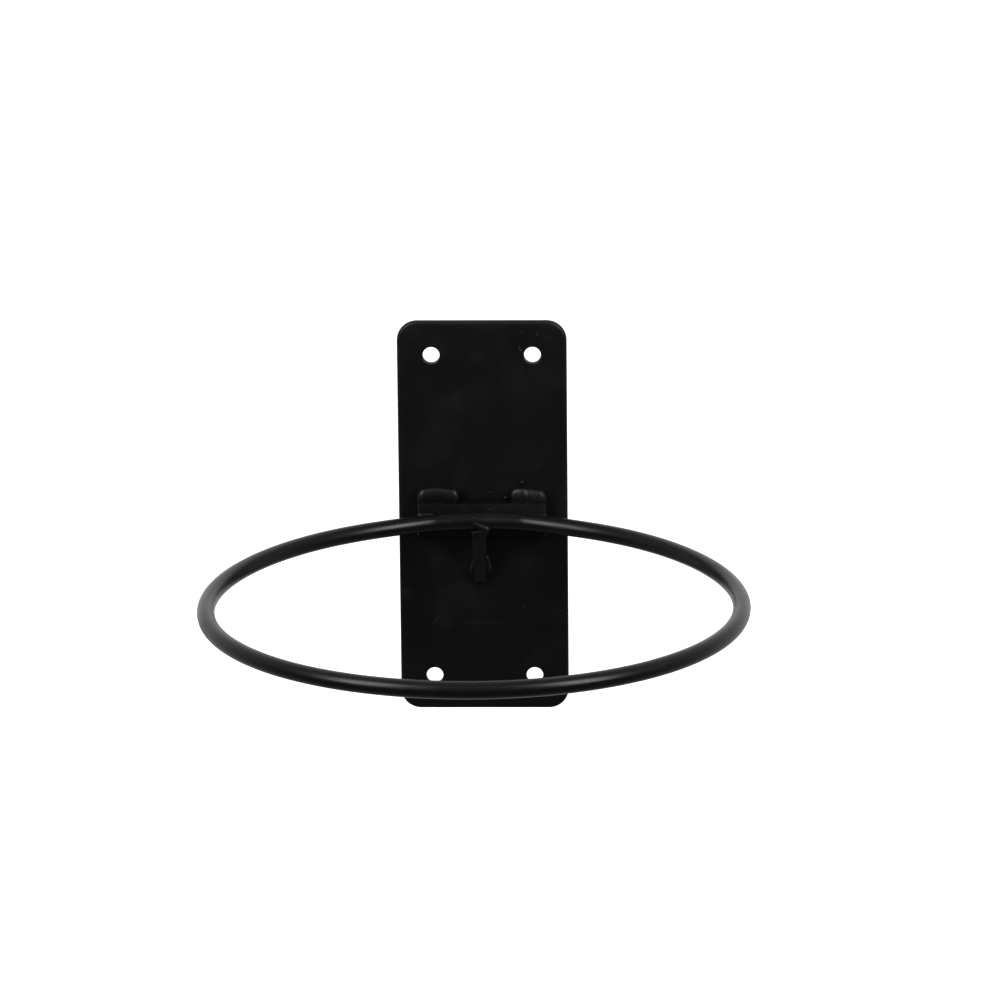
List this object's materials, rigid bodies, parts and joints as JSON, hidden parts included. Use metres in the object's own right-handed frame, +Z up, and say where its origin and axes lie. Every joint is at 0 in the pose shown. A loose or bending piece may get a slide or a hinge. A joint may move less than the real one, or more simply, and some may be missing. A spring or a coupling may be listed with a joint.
{
  "type": "hair dryer holder",
  "caption": "Wall-mounted steel hair dryer holder: a flat screw plate with a horizontal round-rod ring welded to a short bar and a support rib, all powder coated black.",
  "frame": {"origin": "middle of the plate's rear face, which lies flat on the wall", "axes": "+Y points into the wall, so the ring stands out along -Y; +Z is up along the plate; +X is to the right for a person facing the wall"},
  "size_m": [0.1583, 0.1655, 0.12],
  "materials": {
    "plate_coat": "satin black powder coat on flat steel",
    "rod_coat": "semi-gloss black powder coat on round steel rod",
    "weld_coat": "semi-gloss black powder coat over uneven weld metal"
  },
  "bodies": {
    "root": {"back_plate": "plate_coat", "mounting_bar": "plate_coat", "support_rib": "plate_coat", "ring": "rod_coat", "weld_bar_left": "weld_coat", "weld_bar_right": "weld_coat", "weld_ring_joint": "weld_coat", "weld_ring_left": "weld_coat", "weld_ring_right": "weld_coat", "weld_rib_ring": "weld_coat", "weld_rib_plate_left": "weld_coat", "weld_rib_plate_right": "weld_coat"}
  },
  "joints": []
}
